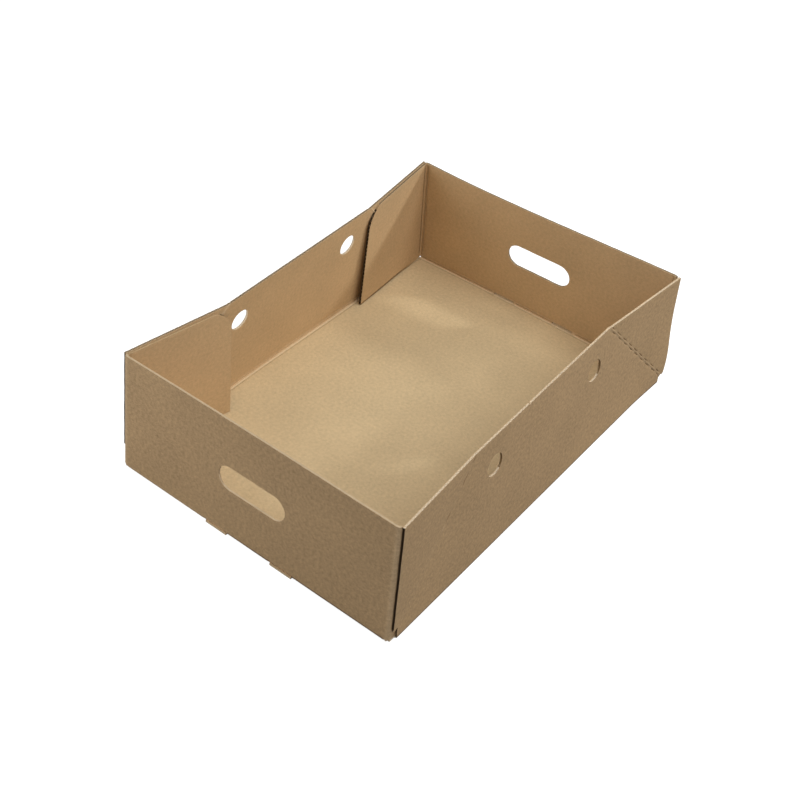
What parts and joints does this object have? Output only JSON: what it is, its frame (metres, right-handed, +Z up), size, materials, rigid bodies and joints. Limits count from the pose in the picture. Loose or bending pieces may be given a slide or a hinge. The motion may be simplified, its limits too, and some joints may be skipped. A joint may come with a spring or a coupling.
{
  "type": "cardboard tray box",
  "caption": "Open tray box of folded and glued corrugated card, with a hand hole in each end wall, round vent holes in the long walls and slanted gusset creases at the corners.",
  "frame": {"origin": "middle of the underside of the base", "axes": "+X along the long walls, +Y along the end walls, +Z up"},
  "size_m": [0.5814, 0.4005, 0.166],
  "materials": {
    "card": "matt brown kraft liner, pale at the cut edges"
  },
  "bodies": {
    "root": {"tray": "card"}
  },
  "joints": []
}
